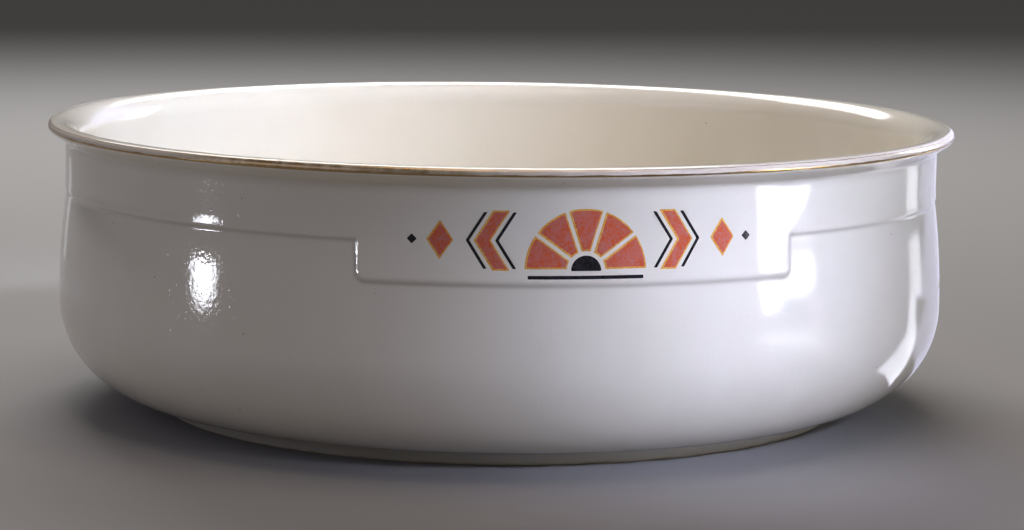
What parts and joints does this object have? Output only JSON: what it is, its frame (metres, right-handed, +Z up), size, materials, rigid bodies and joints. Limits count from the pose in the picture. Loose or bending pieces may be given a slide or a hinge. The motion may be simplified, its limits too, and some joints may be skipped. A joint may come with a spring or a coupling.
{
  "type": "wash basin",
  "caption": "Round glazed earthenware wash basin with a flared gilded lip, a raised collar that drops into flat panels with enamelled ornament, and a turned foot ring.",
  "frame": {"origin": "on the bowl's axis, in the plane that the foot ring rests on", "axes": "+Z up along the bowl's axis; -Y out of the middle of the front panel; +X to the right of someone who faces that panel"},
  "size_m": [0.4013, 0.4012, 0.1265],
  "materials": {
    "clay": "fired clay, bare and matt on the foot's resting edge",
    "glaze": "clear gloss glaze over an ivory body, with a faint orange peel",
    "gilding": "burnished gold fired on the glaze, rubbed thin in use",
    "black_enamel": "fired ceramic colour, gloss",
    "coral_enamel": "fired ceramic colour, gloss, slightly mottled",
    "yellow_enamel": "fired ceramic colour, gloss"
  },
  "bodies": {
    "root": {"clay_body": "clay", "glaze_coat": "glaze", "gilt_rim_band": "gilding", "front_enamel_black": "black_enamel", "front_enamel_coral": "coral_enamel", "front_enamel_yellow": "yellow_enamel", "back_enamel_black": "black_enamel", "back_enamel_coral": "coral_enamel", "back_enamel_yellow": "yellow_enamel"}
  },
  "joints": []
}
